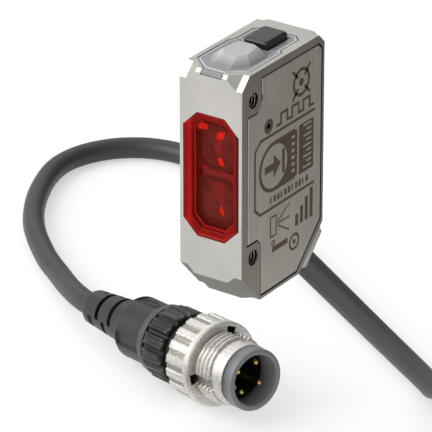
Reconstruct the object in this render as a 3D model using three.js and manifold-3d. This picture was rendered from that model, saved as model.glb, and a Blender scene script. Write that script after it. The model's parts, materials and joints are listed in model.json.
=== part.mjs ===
// Compact photoelectric sensor: slim steel housing, front window, domed indicator cover, teach button,
// and a short lead to a four-pin screw plug. Millimetres, +Z up, window faces -Y, cover plate faces +X.
// Shapes are drawn in body coordinates (X from the middle, Y from the front, Z from the bottom) and
// moved at the end so that the origin is on the left side face, midway between the two screw holes.
import * as THREE from 'three';
import { mergeVertices } from 'three/addons/utils/BufferGeometryUtils.js';
import { ConvexGeometry } from 'three/addons/geometries/ConvexGeometry.js';
import Module from 'manifold-3d';

// Housing
const WIDTH = 11.05;
const DEPTH = 21.8;
const HEIGHT = 37.4;
const HALF = WIDTH / 2;
const HOLE_Y = 3.0;
const HOLE_PITCH = 25.4;
const HOLE_MID_Z = 20.45;
const HOLE_R = 1.25;
const WALL = 0.925;
// Corner cuts as [across Y, along Z], on the two side rails and on the raised middle band
const FRONT_TOP = { rail: [2.0, 2.0], band: [0.55, 0.55], from: 2.76, to: 4.4 };
const FRONT_LOW = { rail: [4.85, 5.25], band: [3.8, 4.1], from: 2.95, to: 4.2 };
const REAR_TOP = { rail: [1.5, 1.5], band: [0.65, 0.65], from: 4.0, to: 4.7 };
const REAR_LOW = [6.3, 6.4];
// Cable boss on the rear bottom diagonal
const BOSS = { proud: 1.7, topHalf: 5.18, baseHalf: 5.5, topLow: -2.77, topHigh: 3.24, low: -3.9, high: 3.63 };
const GLAND = { bore: 2.9, bushOut: 2.75, bushIn: 2.25, bushFrom: -1.2, bushTo: 1.35 };
// Front window
const WINDOW = { half: 4.85, tall: 9.965, cut: 2.45, front: 0.03, thick: 0.97, step: 0.95, stepDeep: 0.5 };
const WINDOW_GAP = 0.08;
const WINDOW_LEDGE = 0.8;
const WINDOW_SEAT = 1.2;
// Side cover plate
const PLATE_THICK = 0.42;
const PLATE_GAP = 0.26;
const PLATE_REAR = 21.05;
const PLATE_CORNER = 0.8;
const PLATE_POCKET_EXTRA = 0.03;
// Indicator cover, dome and button, measured from the bottom of the housing
const COVER_TOP = 37.3;
const COVER_LOW = 36.3;
const COVER_SEAT = 36.1;
const COVER_THROAT = 0.45;
const COVER_FOOT = 34;
const DOME_TOP = 38.45;
const TAB_HALF = 1.8;
const BUTTON = { halfX: 2.2, y0: 11.45, y1: 17.1, top: 38.45, low: 35.4, edge: 0.35, lip: 0.3 };
const BUTTON_GAP = 0.15;
const BUTTON_FLANGE = 0.4;
const BUTTON_SEAL = { gap: 0.1, thick: 0.35, rest: 0.08 };
// Inner boards
const BOARD = 0.6;
const TOP_BOARD_Z = 33.0;
const EMITTER_Z = 24.95;
const RECEIVER_Z = 15.8;
const EMITTER_LENS = { r: 2.5, thick: 1.0, bulge: 0.7 };
const RECEIVER_LENS = { r: 3.2, thick: 1.2, bulge: 0.9 };
const RECEIVER_CHIP = [-1.6, 1.6, 8.75, 9.2, 14.4, 17.2];
const OPTICS_BOARD = [-4.2, 4.2, 9.35, 9.35 + BOARD, 11.5, 29.4];
const MAIN_BOARD = [-3.9, -3.9 + BOARD, 10.3, 19.8, 9.0, 31.4];
const PROCESSOR = [-3.25, -2.35, 12.4, 17.4, 20.0, 25.0];
const TERMINAL = [-3.25, -2.2, 11.4, 16.6, 11.0, 13.0];
const DISPLAY_BOARD = [-4.1, 4.1, 6.5, 18.6, TOP_BOARD_Z, TOP_BOARD_Z + BOARD];
const LED_LOW = TOP_BOARD_Z + BOARD + 0.05;
const OUTPUT_LED = [-2.3, -1.1, 7.4, 9.2, LED_LOW, 34.4];
const POWER_LED = [1.1, 2.3, 7.4, 9.2, LED_LOW, 34.4];
const SWITCH = { y: 14.2, half: 2.0, top: 34.75, well: 0.95, pin: 0.8, pinLow: 34.25, pinTop: 35.35 };
const CRIMP = { inner: 2.25, outer: 2.6, from: -3.3, to: -1.9 };
// Lead and plug, in the frame of the finished part
const LEAD_R = 2.0;
const LEAD_SIDES = 10;
const LEAD_STEPS = 48;
const LEAD_ROUTE = [
  [5.5, 13.5, -15.1], [5.5, 15.6, -17.2], [5.5, 24.1, -25.7], [5.5, 34.0, -35.6], [5.5, 43.9, -45.5],
  [5.5, 58.5, -60.0], [4.9, 62.0, -63.2], [3.0, 65.6, -65.7], [0.1, 69.0, -67.2], [-3.6, 71.9, -67.7],
  [-18.6, 81.3, -67.75], [-33.5, 90.7, -67.75], [-48.5, 100.1, -67.75], [-63.5, 109.5, -67.75],
  [-78.5, 119.0, -67.75], [-83.6, 121.0, -67.75], [-89.1, 121.2, -67.75], [-94.3, 119.6, -67.75],
  [-98.7, 116.2, -67.75], [-101.6, 111.5, -67.75], [-102.8, 106.2, -67.75], [-102.1, 100.7, -67.75],
  [-97.8, 90.5, -67.75], [-91.1, 80.7, -67.75], [-81.7, 71.8, -67.75], [-75.3, 66.9, -67.3],
  [-69.6, 62.4, -66.5], [-64.7, 58.9, -65.6], [-61.9, 57.3, -65.15], [-59.5, 56.38, -64.87],
  [-57.2, 55.68, -64.66], [-54.93, 54.98, -64.45],
];
const PLUG_FACE = [-17.58, 43.58, -61.04];
const PLUG_AXIS = [0.9528, -0.2908, 0.087];
// Plug stations are distances behind the plug's front face
const INSERT = { ring: 5.35, bore: 4.3, ringLong: 2.2, sleeve: 4.85, bottom: 8.6, back: 15.6 };
const NUT = { hole: 5.05, thread: 5.9, root: 5.5, out: 7.4, front: 2.45, threadBack: 9.0, back: 14.9 };
const FLUTES = { count: 18, phase: 4, from: 9.9, wide: 0.32, deep: 0.18 };
const GRIP = { inner: 5.1, out: 6.6, groove: 6.15, front: 15.7, back: 22.8, lobes: 14 };
const BODY = { stem: 4.8, collar: 6.1, barrel: 5.5, front: 16.0, seat: 23.1, step: 24.6, back: 32.2 };
const RELIEF = { big: 4.0, small: 3.05, back: 44.0, bore: 2.3, boreTo: 38.6 };
const SLOT = { from: 35.05, pitch: 1.95, rows: 4, deep: 0.8, long: 0.85, turn: 61, wide: 0.8 };
const PIN = { r: 0.5, circle: 2.75, tip: 1.7, back: 16.6, sides: 10, turn: 38 };
const KEY = { turn: -2, from: 0.6, sink: 0.2, lift: 0.25, halfHigh: 0.55, halfWide: 0.5 };

const wasm = await Module();
wasm.setup();

function toSolid(geometry) {
  const bare = geometry.clone();
  bare.deleteAttribute('normal');
  bare.deleteAttribute('uv');
  const merged = mergeVertices(bare, 1e-5);
  return new wasm.Manifold(new wasm.Mesh({
    numProp: 3,
    vertProperties: new Float32Array(merged.attributes.position.array),
    triVerts: new Uint32Array(merged.index.array),
  }));
}

function toGeometry(solid) {
  const mesh = solid.getMesh();
  const geometry = new THREE.BufferGeometry();
  geometry.setAttribute('position', new THREE.BufferAttribute(new Float32Array(mesh.vertProperties), 3));
  geometry.setIndex(new THREE.BufferAttribute(new Uint32Array(mesh.triVerts), 1));
  geometry.computeVertexNormals();
  return geometry;
}

function box(x0, x1, y0, y1, z0, z1) {
  const shape = new THREE.BoxGeometry(x1 - x0, y1 - y0, z1 - z0);
  return toSolid(shape.translate((x0 + x1) / 2, (y0 + y1) / 2, (z0 + z1) / 2));
}

function hull(points) {
  return toSolid(new ConvexGeometry(points.map((p) => new THREE.Vector3(...p))));
}

function extrude(outline, deep) {
  const shape = new THREE.Shape(outline.map((p) => new THREE.Vector2(...p)));
  return new THREE.ExtrudeGeometry(shape, { depth: deep, bevelEnabled: false });
}

// Outline in (Y, Z), pushed along X
function prismX(outline, x0, x1) {
  const turn = new THREE.Matrix4().set(0, 0, 1, x0, 1, 0, 0, 0, 0, 1, 0, 0, 0, 0, 0, 1);
  return toSolid(extrude(outline, x1 - x0).applyMatrix4(turn));
}

// Outline in (X, Z), pushed along Y
function prismY(outline, y0, y1) {
  const turn = new THREE.Matrix4().set(1, 0, 0, 0, 0, 0, -1, y1, 0, 1, 0, 0, 0, 0, 0, 1);
  return toSolid(extrude(outline, y1 - y0).applyMatrix4(turn));
}

// Outline in (X, Y), pushed along Z
function prismZ(outline, z0, z1) {
  return toSolid(extrude(outline, z1 - z0).translate(0, 0, z0));
}

// Profile in (radius, distance), turned about a line through base along axis
function turned(profile, base, axis, sides) {
  const shape = new THREE.LatheGeometry(profile.map((p) => new THREE.Vector2(...p)), sides);
  const spin = new THREE.Quaternion().setFromUnitVectors(new THREE.Vector3(0, 1, 0), axis);
  return toSolid(shape.applyQuaternion(spin).translate(base.x, base.y, base.z));
}

function rod(r, from, to, base, axis, sides) {
  return turned([[0, from], [r, from], [r, to], [0, to]], base, axis, sides);
}

function ring(inner, outer, from, to, base, axis, sides) {
  const profile = [[inner, from], [outer, from], [outer, to], [inner, to], [inner, from]];
  return turned(profile, base, axis, sides);
}

function tube(points, r, sides, steps) {
  const path = new THREE.CatmullRomCurve3(points.map((p) => new THREE.Vector3(...p)), false, 'centripetal');
  const circle = new THREE.Shape();
  for (let i = 0; i < sides; i += 1) {
    const turn = (i / sides) * Math.PI * 2;
    circle[i ? 'lineTo' : 'moveTo'](r * Math.cos(turn), r * Math.sin(turn));
  }
  circle.closePath();
  return toSolid(new THREE.ExtrudeGeometry(circle, { steps, bevelEnabled: false, extrudePath: path }));
}

const AX = new THREE.Vector3(1, 0, 0);
const AY = new THREE.Vector3(0, 1, 0);
const AZ = new THREE.Vector3(0, 0, 1);
const DIAG_MID = new THREE.Vector3(0, DEPTH - REAR_LOW[0] / 2, REAR_LOW[1] / 2);
const LEAD_OUT = new THREE.Vector3(0, 1, -1).normalize();
const ALONG_DIAG = new THREE.Vector3(0, 1, 1).normalize();

function blend(corner, x) {
  const t = THREE.MathUtils.clamp((Math.abs(x) - corner.from) / (corner.to - corner.from), 0, 1);
  return [0, 1].map((k) => corner.band[k] + (corner.rail[k] - corner.band[k]) * t);
}

// Cross-section of the housing at one X
function section(x) {
  const [fy, fz] = blend(FRONT_TOP, x);
  const [ly, lz] = blend(FRONT_LOW, x);
  const [ry, rz] = blend(REAR_TOP, x);
  return [
    [ly, 0], [DEPTH - REAR_LOW[0], 0], [DEPTH, REAR_LOW[1]], [DEPTH, HEIGHT - rz],
    [DEPTH - ry, HEIGHT], [fy, HEIGHT], [0, HEIGHT - fz], [0, lz],
  ];
}

function housingShell() {
  const marks = [FRONT_TOP, FRONT_LOW, REAR_TOP].flatMap((c) => [c.from, c.to]).concat(HALF);
  const stations = [...marks.map((m) => -m), ...marks].sort((a, b) => a - b);
  const corners = stations.map(section);
  const count = corners[0].length;
  const points = stations.flatMap((x, s) => corners[s].flatMap((p) => [x, p[0], p[1]]));
  const faces = [];
  for (let s = 0; s + 1 < stations.length; s += 1) {
    for (let i = 0; i < count; i += 1) {
      const a = s * count + i;
      const b = s * count + ((i + 1) % count);
      faces.push(a, a + count, b, b, a + count, b + count);
    }
  }
  const last = (stations.length - 1) * count;
  for (let i = 1; i + 1 < count; i += 1) {
    faces.push(0, i, i + 1);
    faces.push(last, last + i + 1, last + i);
  }
  const flip = faces.flatMap((_, i) => (i % 3 ? [] : [faces[i], faces[i + 2], faces[i + 1]]));
  const geometry = new THREE.BufferGeometry();
  geometry.setAttribute('position', new THREE.BufferAttribute(new Float32Array(points), 3));
  geometry.setIndex(flip);
  return toSolid(geometry);
}

function diagPoint(x, along, out) {
  const p = DIAG_MID.clone().addScaledVector(ALONG_DIAG, along).addScaledVector(LEAD_OUT, out);
  return [x, p.y, p.z];
}

function cableBoss() {
  const points = [];
  for (const side of [-1, 1]) {
    points.push(diagPoint(side * BOSS.topHalf, BOSS.topLow, BOSS.proud));
    points.push(diagPoint(side * BOSS.topHalf, BOSS.topHigh, BOSS.proud));
    points.push(diagPoint(side * BOSS.baseHalf, BOSS.low, -0.3));
    points.push(diagPoint(side * BOSS.baseHalf, BOSS.high, -0.3));
  }
  return hull(points);
}

function plateOutline(grow) {
  const z1 = HEIGHT - 1.55;
  const notch = HOLE_MID_Z + 10.2;
  const bend = notch + 1.2;
  const low = 2 * HOLE_MID_Z - notch;
  const lowBend = 2 * HOLE_MID_Z - bend;
  const g = grow;
  return [
    [5.3 - g, 0.75 - g], [14.7 + g * 0.4, 0.75 - g], [PLATE_REAR + g, 7.2 - g * 0.4],
    [PLATE_REAR + g, z1 - PLATE_CORNER + g * 0.4], [PLATE_REAR - PLATE_CORNER + g * 0.4, z1 + g],
    [5.3 - g, z1 + g], [5.3 - g, bend - g * 0.4], [4.2 - g * 0.4, notch + g], [1.65 - g, notch + g],
    [1.65 - g, low - g], [4.2 - g * 0.4, low - g], [5.3 - g, lowBend + g * 0.4],
  ];
}

function cavity() {
  const high = 2 * HOLE_MID_Z;
  const outline = [
    [5.9, 1.5], [14.8, 1.5], [20.8, 7.5], [20.8, 35.2], [5.9, 35.2], [5.9, high - 9.7],
    [4.6, high - 11.1], [2.3, high - 11.1], [2.3, 11.1], [4.6, 11.1], [5.9, 9.7],
  ];
  return prismX(outline, -HALF + WALL, HALF);
}

function octagon(inset) {
  const w = WINDOW.half - inset;
  const h = WINDOW.tall - inset;
  const c = WINDOW.cut - inset * 0.586;
  const z = HOLE_MID_Z;
  return [
    [-w + c, z - h], [w - c, z - h], [w, z - h + c], [w, z + h - c],
    [w - c, z + h], [-w + c, z + h], [-w, z + h - c], [-w, z - h + c],
  ];
}

// Outline of the indicator cover in (X, Y); grow moves every edge out
function coverOutline(grow) {
  const g = grow;
  const half = [[TAB_HALF + g, 0.9 - g], [4.65 + g, 3.35 - g * 0.4], [4.65 + g, 11.6 + g * 0.4],
    [4.05 + g, 12.3 + g * 0.4], [4.05 + g, 17.0 + g * 0.4], [2.9 + g * 0.4, 18.15 + g]];
  return [...half, ...half.map(([x, y]) => [-x, y]).reverse()];
}

function mainHousing() {
  let solid = housingShell().add(cableBoss());
  solid = solid.subtract(cavity());
  solid = solid.subtract(prismX(plateOutline(PLATE_GAP), HALF - PLATE_THICK - PLATE_POCKET_EXTRA, HALF + 1));
  solid = solid.subtract(prismY(octagon(-WINDOW_GAP), -1, WINDOW_SEAT));
  solid = solid.subtract(prismY(octagon(WINDOW_LEDGE), 0, 3));
  solid = solid.subtract(prismZ(coverOutline(WINDOW_GAP), COVER_SEAT, HEIGHT + 1));
  solid = solid.subtract(prismZ(coverOutline(-COVER_THROAT), COVER_FOOT, COVER_SEAT + 0.1));
  solid = solid.subtract(box(-TAB_HALF - 0.08, TAB_HALF + 0.08, -1, 1.5, COVER_TOP - 0.7, HEIGHT + 1));
  solid = solid.subtract(rod(GLAND.bore, -3, 3, DIAG_MID, LEAD_OUT, 32));
  for (const side of [-1, 1]) {
    const base = new THREE.Vector3(0, HOLE_Y, HOLE_MID_Z + (side * HOLE_PITCH) / 2);
    solid = solid.subtract(rod(HOLE_R, -HALF - 1, HALF + 1, base, AX, 28));
  }
  return solid;
}

function frontWindow() {
  const back = WINDOW.front + WINDOW.thick;
  const plate = prismY(octagon(0), WINDOW.front, back);
  return plate.add(prismY(octagon(WINDOW.step), back - 0.1, back + WINDOW.stepDeep));
}

function windowSeal() {
  const from = WINDOW.front + WINDOW.thick + 0.03;
  return prismY(octagon(0.05), from, WINDOW_SEAT - 0.02).subtract(prismY(octagon(0.78), 0, 3));
}

function sideCover() {
  return prismX(plateOutline(0), HALF - PLATE_THICK, HALF);
}

function domePoints(drop, shrink, z0) {
  const top = DOME_TOP - drop;
  const s = shrink;
  const base = [
    [1.7, 2.25 + s], [3.7 - s, 4.9 + s * 0.4], [3.8 - s, 9.4 - s * 0.4], [2.7, 10.7 - s], [0.9, 11.1 - s],
  ];
  const cap = [[1.15 - s * 0.5, 5.1], [2.2 - s * 0.5, 6.2], [1.8 - s * 0.5, 9.5], [0.8, 10.0]];
  const both = (list, z) => list.flatMap(([x, y]) => [[x, y, z], [-x, y, z]]);
  return [...both(base, z0), ...both(cap, top)];
}

function indicatorCover() {
  const plate = prismZ(coverOutline(0), COVER_LOW, COVER_TOP);
  const tab = box(-TAB_HALF, TAB_HALF, 0.04, 2, COVER_TOP - 0.6, COVER_TOP);
  const hole = box(-BUTTON.halfX - BUTTON_GAP, BUTTON.halfX + BUTTON_GAP,
    BUTTON.y0 - BUTTON_GAP, BUTTON.y1 + BUTTON_GAP, COVER_LOW - 1, COVER_TOP + 2);
  const dome = hull(domePoints(0, 0, COVER_TOP - 0.1));
  const hollow = hull(domePoints(0.75, 0.7, COVER_LOW - 0.2));
  return plate.add(tab).add(dome).subtract(hollow).subtract(hole);
}

function indicatorSeal() {
  const outer = prismZ(coverOutline(-0.04), COVER_SEAT + 0.02, COVER_LOW - 0.03);
  return outer.subtract(prismZ(coverOutline(-COVER_THROAT + 0.03), COVER_SEAT - 1, COVER_LOW + 1));
}

function teachButton() {
  const { halfX, y0, y1, top, low, edge, lip } = BUTTON;
  const layer = (x, a, b, c, z) => [
    [x - c, a, z], [-x + c, a, z], [x - c, b, z], [-x + c, b, z],
    [x, a + c, z], [-x, a + c, z], [x, b - c, z], [-x, b - c, z],
  ];
  const stem = hull([
    ...layer(halfX, y0, y1, edge, low),
    ...layer(halfX, y0, y1, edge, top - edge),
    ...layer(halfX - edge, y0 + edge, y1 - edge, edge, top),
  ]);
  return stem.add(box(-halfX - lip, halfX + lip, y0 - lip, y1 + lip, low, low + BUTTON_FLANGE));
}

function buttonSeal() {
  const z = BUTTON.low + BUTTON_FLANGE;
  const { gap, thick, rest } = BUTTON_SEAL;
  const frame = (grow, z0, z1) => box(-BUTTON.halfX - grow, BUTTON.halfX + grow,
    BUTTON.y0 - grow, BUTTON.y1 + grow, z0, z1);
  return frame(gap + thick, z + rest, COVER_LOW - rest).subtract(frame(gap, z - 1, COVER_LOW + 1));
}

function opticsBlock() {
  const block = box(-4.3, 4.3, 2.45, 8.6, 11.4, 29.5);
  const upper = box(-3.4, 3.4, 2, 6.6, 21.0, 28.9);
  const lower = box(-3.4, 3.4, 2, 6.6, 12.0, 19.6);
  const shaft = rod(2.05, 6, 9, new THREE.Vector3(0, 0, EMITTER_Z), AY, 24);
  const eye = rod(2.6, 6, 9, new THREE.Vector3(0, 0, RECEIVER_Z), AY, 24);
  return block.subtract(upper).subtract(lower).subtract(shaft).subtract(eye);
}

function lens(z, { r, thick, bulge }) {
  const profile = [[0, -bulge], [r * 0.5, -bulge * 0.74], [r, 0], [r, thick], [0, thick]];
  return turned(profile, new THREE.Vector3(0, 6.5 - thick, z), AY, 24);
}

function laserDiode() {
  const profile = [[0, 6.95], [1.8, 6.95], [1.8, 8.68], [2.7, 8.68], [2.7, 9.2], [0, 9.2]];
  return turned(profile, new THREE.Vector3(0, 0, EMITTER_Z), AY, 20);
}

function switchBody() {
  const s = SWITCH;
  const body = box(-s.half, s.half, s.y - s.half, s.y + s.half, LED_LOW, s.top);
  return body.subtract(rod(s.well, LED_LOW + 0.15, s.top + 1, new THREE.Vector3(0, s.y, 0), AZ, 16));
}

function switchPlunger() {
  return rod(SWITCH.pin, SWITCH.pinLow, SWITCH.pinTop, new THREE.Vector3(0, SWITCH.y, 0), AZ, 16);
}

const plugAxis = new THREE.Vector3(...PLUG_AXIS).normalize();
const plugFace = new THREE.Vector3(...PLUG_FACE);
const plugBack = plugAxis.clone().negate();

function plugRing(inner, outer, from, to, sides) {
  return ring(inner, outer, from, to, plugFace, plugBack, sides);
}

// A box in the plug's own directions: along the axis, sideways and up
function plugBox(from, to, side, up, halfSide, halfUp, turn) {
  const shape = new THREE.BoxGeometry(to - from, halfSide * 2, halfUp * 2).translate((from + to) / 2, side, up);
  shape.applyMatrix4(new THREE.Matrix4().makeRotationX(turn));
  const y = new THREE.Vector3(0, 0, 1).cross(plugBack).normalize();
  const z = plugBack.clone().cross(y);
  const place = new THREE.Matrix4().makeBasis(plugBack, y, z).setPosition(plugFace);
  return toSolid(shape.applyMatrix4(place));
}

function contactInsert() {
  const p = INSERT;
  const profile = [
    [p.bore, 0], [p.ring, 0], [p.ring, p.ringLong], [p.sleeve, p.ringLong], [p.sleeve, p.back],
    [0, p.back], [0, p.bottom], [p.bore, p.bottom], [p.bore, 0],
  ];
  let solid = turned(profile, plugFace, plugBack, 32);
  const turn = THREE.MathUtils.degToRad(KEY.turn);
  const rib = plugBox(KEY.from, p.bottom + KEY.sink, p.bore - KEY.lift, 0, KEY.halfHigh, KEY.halfWide, turn);
  solid = solid.add(rib);
  for (let i = 0; i < 4; i += 1) {
    solid = solid.subtract(rod(PIN.r + 0.1, p.bottom - 1, p.back + 1, pinBase(i), plugBack, 12));
  }
  return solid;
}

function pinBase(i) {
  const turn = THREE.MathUtils.degToRad(PIN.turn + 90 * i);
  const y = new THREE.Vector3(0, 0, 1).cross(plugBack).normalize();
  const z = plugBack.clone().cross(y);
  const centre = plugFace.clone().addScaledVector(y, PIN.circle * Math.cos(turn));
  return centre.addScaledVector(z, PIN.circle * Math.sin(turn));
}

function contactPin(i) {
  const { r, tip, back, sides } = PIN;
  return turned([[0, tip], [r * 0.6, tip], [r, tip + 0.5], [r, back], [0, back]], pinBase(i), plugBack, sides);
}

function couplingNut() {
  const n = NUT;
  const profile = [
    [n.hole, n.front], [n.root, n.front], [n.thread, n.front + 0.5], [n.thread, n.threadBack],
    [n.out - 0.35, n.threadBack], [n.out, n.threadBack + 0.35], [n.out, n.back], [n.hole, n.back],
    [n.hole, n.front],
  ];
  let solid = turned(profile, plugFace, plugBack, 48);
  for (let i = 0; i < FLUTES.count; i += 1) {
    const turn = THREE.MathUtils.degToRad((360 / FLUTES.count) * i + FLUTES.phase);
    const tool = plugBox(FLUTES.from, n.back + 1, n.out + 0.12, 0, FLUTES.deep + 0.12, FLUTES.wide, turn);
    solid = solid.subtract(tool);
  }
  return solid;
}

function plugGrip() {
  const g = GRIP;
  let solid = plugRing(g.inner, g.out, g.front, g.back, 56);
  for (let i = 0; i < g.lobes; i += 1) {
    const turn = (i / g.lobes) * Math.PI * 2;
    solid = solid.subtract(plugBox(g.front + 0.9, g.back + 1, g.out + 0.05, 0, g.out - g.groove, 0.5, turn));
  }
  return solid;
}

function plugBody() {
  const b = BODY;
  const r = RELIEF;
  const profile = [
    [0, b.front], [b.stem, b.front], [b.stem, b.seat], [b.collar, b.seat], [b.collar, b.step - 0.3],
    [b.barrel, b.step], [b.barrel, b.back - 0.9], [r.big, b.back], [r.small, r.back], [0, r.back], [0, b.front],
  ];
  let solid = turned(profile, plugFace, plugBack, 36);
  for (let row = 0; row < SLOT.rows; row += 1) {
    const from = SLOT.from + row * SLOT.pitch;
    const radius = r.big - ((r.big - r.small) * (from - b.back)) / (r.back - b.back);
    for (let i = 0; i < 2; i += 1) {
      const turn = THREE.MathUtils.degToRad(SLOT.turn + 180 * i + 90 * (row % 2));
      solid = solid.subtract(plugBox(from, from + SLOT.long, radius, 0, SLOT.deep, radius * SLOT.wide, turn));
    }
  }
  for (let i = 0; i < 4; i += 1) {
    solid = solid.subtract(rod(PIN.r + 0.15, b.front - 1, PIN.back + 0.2, pinBase(i), plugBack, 12));
  }
  return solid.subtract(rod(r.bore, r.boreTo, r.back + 1, plugFace, plugBack, 24));
}

function leadRing(inner, outer, from, to) {
  return ring(inner, outer, from, to, DIAG_MID, LEAD_OUT, 24);
}

function coreWire(i) {
  const side = [-0.75, 0.75, -0.75, 0.75][i];
  const lift = [-0.7, -0.7, 0.7, 0.7][i];
  const end = [12.2, 13.4, 14.6, 15.8][i];
  const from = diagPoint(side, lift, -3.7);
  const next = diagPoint(side, lift, -4.7);
  return tube([from, next, [side - 0.3, end + 0.4, 9.0], [-1.2, end, 11.0], [-1.75, end, 12.0]], 0.4, 6, 10);
}

const STEEL = { color: 0xb9b7b2, roughness: 0.4, metalness: 0.9 };
const COVER_STEEL = { color: 0x97938c, roughness: 0.5, metalness: 0.8 };
const RED = { color: 0x8f1512, roughness: 0.12, metalness: 0 };
const CLEAR = { color: 0xaab0b5, roughness: 0.25, metalness: 0 };
const BLACK = { color: 0x2b2b2d, roughness: 0.6, metalness: 0 };
const RUBBER = { color: 0x202022, roughness: 0.8, metalness: 0 };
const GLASS = { color: 0xc9d4d8, roughness: 0.08, metalness: 0 };
const GREEN = { color: 0x1d6b3c, roughness: 0.5, metalness: 0 };
const CHIP = { color: 0x1b1c1f, roughness: 0.5, metalness: 0 };
const GOLD = { color: 0xd9b45c, roughness: 0.3, metalness: 1 };
const NICKEL = { color: 0xcfccc5, roughness: 0.4, metalness: 0.9 };
const GREY = { color: 0x7d7e83, roughness: 0.5, metalness: 0 };
const JACKET = { color: 0x4c4d4f, roughness: 0.65, metalness: 0 };
const LED_YELLOW = { color: 0xe6c75a, roughness: 0.3, metalness: 0 };
const LED_GREEN = { color: 0x9fd6a0, roughness: 0.3, metalness: 0 };
const WIRES = [['brown', 0x6b4226], ['white', 0xe4e2dc], ['blue', 0x2a4fa0], ['black', 0x1d1d1f]];

const group = new THREE.Group();
const toOrigin = new THREE.Vector3(HALF, -HOLE_Y, -HOLE_MID_Z);

function place(name, solid, look, inBody = true) {
  const geometry = toGeometry(solid);
  if (inBody) {
    geometry.translate(toOrigin.x, toOrigin.y, toOrigin.z);
  }
  const mesh = new THREE.Mesh(geometry, new THREE.MeshStandardMaterial(look));
  mesh.name = name;
  group.add(mesh);
}

place('main_housing', mainHousing(), STEEL);
place('side_cover', sideCover(), COVER_STEEL);
place('front_window', frontWindow(), RED);
place('window_seal', windowSeal(), RUBBER);
place('optics_block', opticsBlock(), BLACK);
place('emitter_lens', lens(EMITTER_Z, EMITTER_LENS), GLASS);
place('receiver_lens', lens(RECEIVER_Z, RECEIVER_LENS), GLASS);
place('laser_diode', laserDiode(), GOLD);
place('receiver_chip', box(...RECEIVER_CHIP), CHIP);
place('optics_board', box(...OPTICS_BOARD), GREEN);
place('main_board', box(...MAIN_BOARD), GREEN);
place('processor_chip', box(...PROCESSOR), CHIP);
place('wire_terminal', box(...TERMINAL), GREY);
place('display_board', box(...DISPLAY_BOARD), GREEN);
place('output_led', box(...OUTPUT_LED), LED_YELLOW);
place('power_led', box(...POWER_LED), LED_GREEN);
place('indicator_cover', indicatorCover(), CLEAR);
place('indicator_seal', indicatorSeal(), RUBBER);
place('teach_button', teachButton(), BLACK);
place('button_seal', buttonSeal(), RUBBER);
place('switch_body', switchBody(), BLACK);
place('switch_plunger', switchPlunger(), GREY);
place('gland_bush', leadRing(GLAND.bushIn, GLAND.bushOut, GLAND.bushFrom, GLAND.bushTo), RUBBER);
place('crimp_ring', leadRing(CRIMP.inner, CRIMP.outer, CRIMP.from, CRIMP.to), GOLD);
WIRES.forEach(([name, color], i) => {
  place(`wire_${name}`, coreWire(i), { color, roughness: 0.5, metalness: 0 });
});
place('lead', tube(LEAD_ROUTE, LEAD_R, LEAD_SIDES, LEAD_STEPS), JACKET, false);
place('plug_body', plugBody(), JACKET, false);
place('plug_grip', plugGrip(), BLACK, false);
place('coupling_nut', couplingNut(), NICKEL, false);
place('contact_insert', contactInsert(), GREY, false);
for (let i = 0; i < 4; i += 1) {
  place(`contact_pin_${i + 1}`, contactPin(i), GOLD, false);
}

export default group;
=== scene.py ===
# Compact photoelectric sensor with a short plug lead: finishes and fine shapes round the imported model.
import json
import math

import bmesh
import bpy
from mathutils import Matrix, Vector


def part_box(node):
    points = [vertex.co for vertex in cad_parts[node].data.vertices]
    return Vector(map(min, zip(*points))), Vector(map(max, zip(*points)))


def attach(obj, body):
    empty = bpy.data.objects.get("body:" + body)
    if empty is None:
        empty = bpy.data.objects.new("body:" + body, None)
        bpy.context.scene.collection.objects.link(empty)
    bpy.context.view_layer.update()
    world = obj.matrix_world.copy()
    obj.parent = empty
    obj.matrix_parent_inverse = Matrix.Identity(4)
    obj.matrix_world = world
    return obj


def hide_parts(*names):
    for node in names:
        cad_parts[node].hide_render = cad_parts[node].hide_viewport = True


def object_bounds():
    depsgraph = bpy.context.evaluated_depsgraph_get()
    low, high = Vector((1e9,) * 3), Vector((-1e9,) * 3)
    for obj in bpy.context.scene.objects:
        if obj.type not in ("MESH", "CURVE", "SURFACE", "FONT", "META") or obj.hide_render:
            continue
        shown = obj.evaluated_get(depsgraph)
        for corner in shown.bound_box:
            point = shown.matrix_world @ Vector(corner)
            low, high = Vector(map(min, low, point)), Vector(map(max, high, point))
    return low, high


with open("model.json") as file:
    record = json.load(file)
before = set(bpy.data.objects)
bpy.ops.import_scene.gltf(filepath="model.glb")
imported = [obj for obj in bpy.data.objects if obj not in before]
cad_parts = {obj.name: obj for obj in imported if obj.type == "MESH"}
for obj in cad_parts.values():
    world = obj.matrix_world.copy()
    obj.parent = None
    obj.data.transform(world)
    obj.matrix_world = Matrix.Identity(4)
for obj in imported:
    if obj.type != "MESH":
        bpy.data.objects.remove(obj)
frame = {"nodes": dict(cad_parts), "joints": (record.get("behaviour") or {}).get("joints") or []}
cad_low, cad_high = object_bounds()

# Camera: a long lens on a tripod, a little above the sensor and off to the side of its marked cover.
# It looks down at the window, the cover and the indicator, with the plug lying in the foreground.
MM = 0.001
AIM = Vector((3.112, 1.867, -8.755)) * MM
AZIMUTH = math.radians(34.485)
ELEVATION = math.radians(25.713)
AWAY = 0.59993
LENS_MM = 335.95

lens = bpy.data.cameras.new("tripod_camera")
lens.lens = LENS_MM
lens.sensor_width = 36.0
lens.clip_start = 0.01
lens.clip_end = 20.0
camera = bpy.data.objects.new("tripod_camera", lens)
bpy.context.scene.collection.objects.link(camera)
back = Vector((
    math.sin(AZIMUTH) * math.cos(ELEVATION),
    -math.cos(AZIMUTH) * math.cos(ELEVATION),
    math.sin(ELEVATION),
))
camera.location = AIM + back * AWAY
camera.rotation_mode = "QUATERNION"
camera.rotation_quaternion = (-back).to_track_quat("-Z", "Y")
bpy.context.scene.camera = camera

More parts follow.
